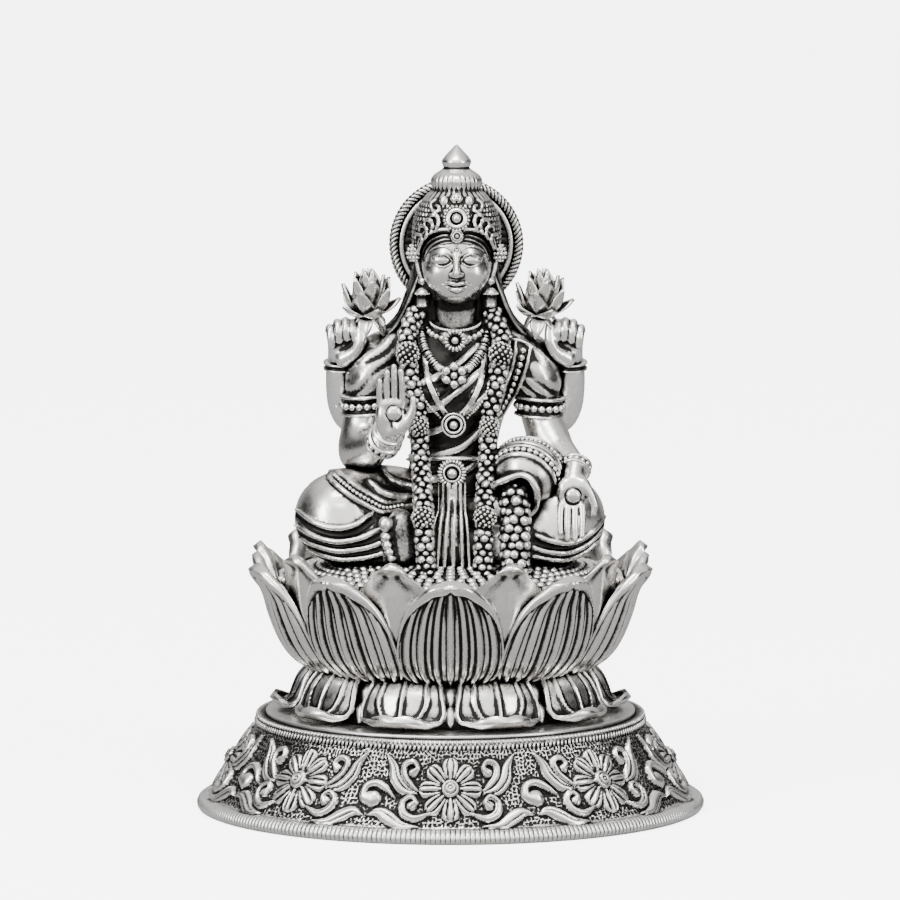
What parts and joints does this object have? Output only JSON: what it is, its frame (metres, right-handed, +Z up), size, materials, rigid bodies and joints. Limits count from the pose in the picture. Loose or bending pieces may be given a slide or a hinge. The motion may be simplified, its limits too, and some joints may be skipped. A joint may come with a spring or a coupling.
{
  "type": "lakshmi figure",
  "caption": "Seated four-armed goddess figure in antiqued cast silver, on a lotus throne that stands on an oval plinth with floral relief.",
  "frame": {"origin": "centre of the plinth's underside", "axes": "+Z up, the figure looks along -Y, +X is to the right of a viewer who faces the figure"},
  "size_m": [0.1146, 0.093, 0.1503],
  "materials": {
    "plinth_silver": "antiqued cast silver, satin relief on a black pitted ground",
    "throne_silver": "antiqued cast silver, satin petals with darkened grooves",
    "figure_silver": "antiqued cast silver, bright satin skin and jewels, black oxidised recesses and dress"
  },
  "bodies": {
    "root": {"plinth": "plinth_silver", "lotus_throne": "throne_silver", "goddess_figure": "figure_silver"}
  },
  "joints": []
}
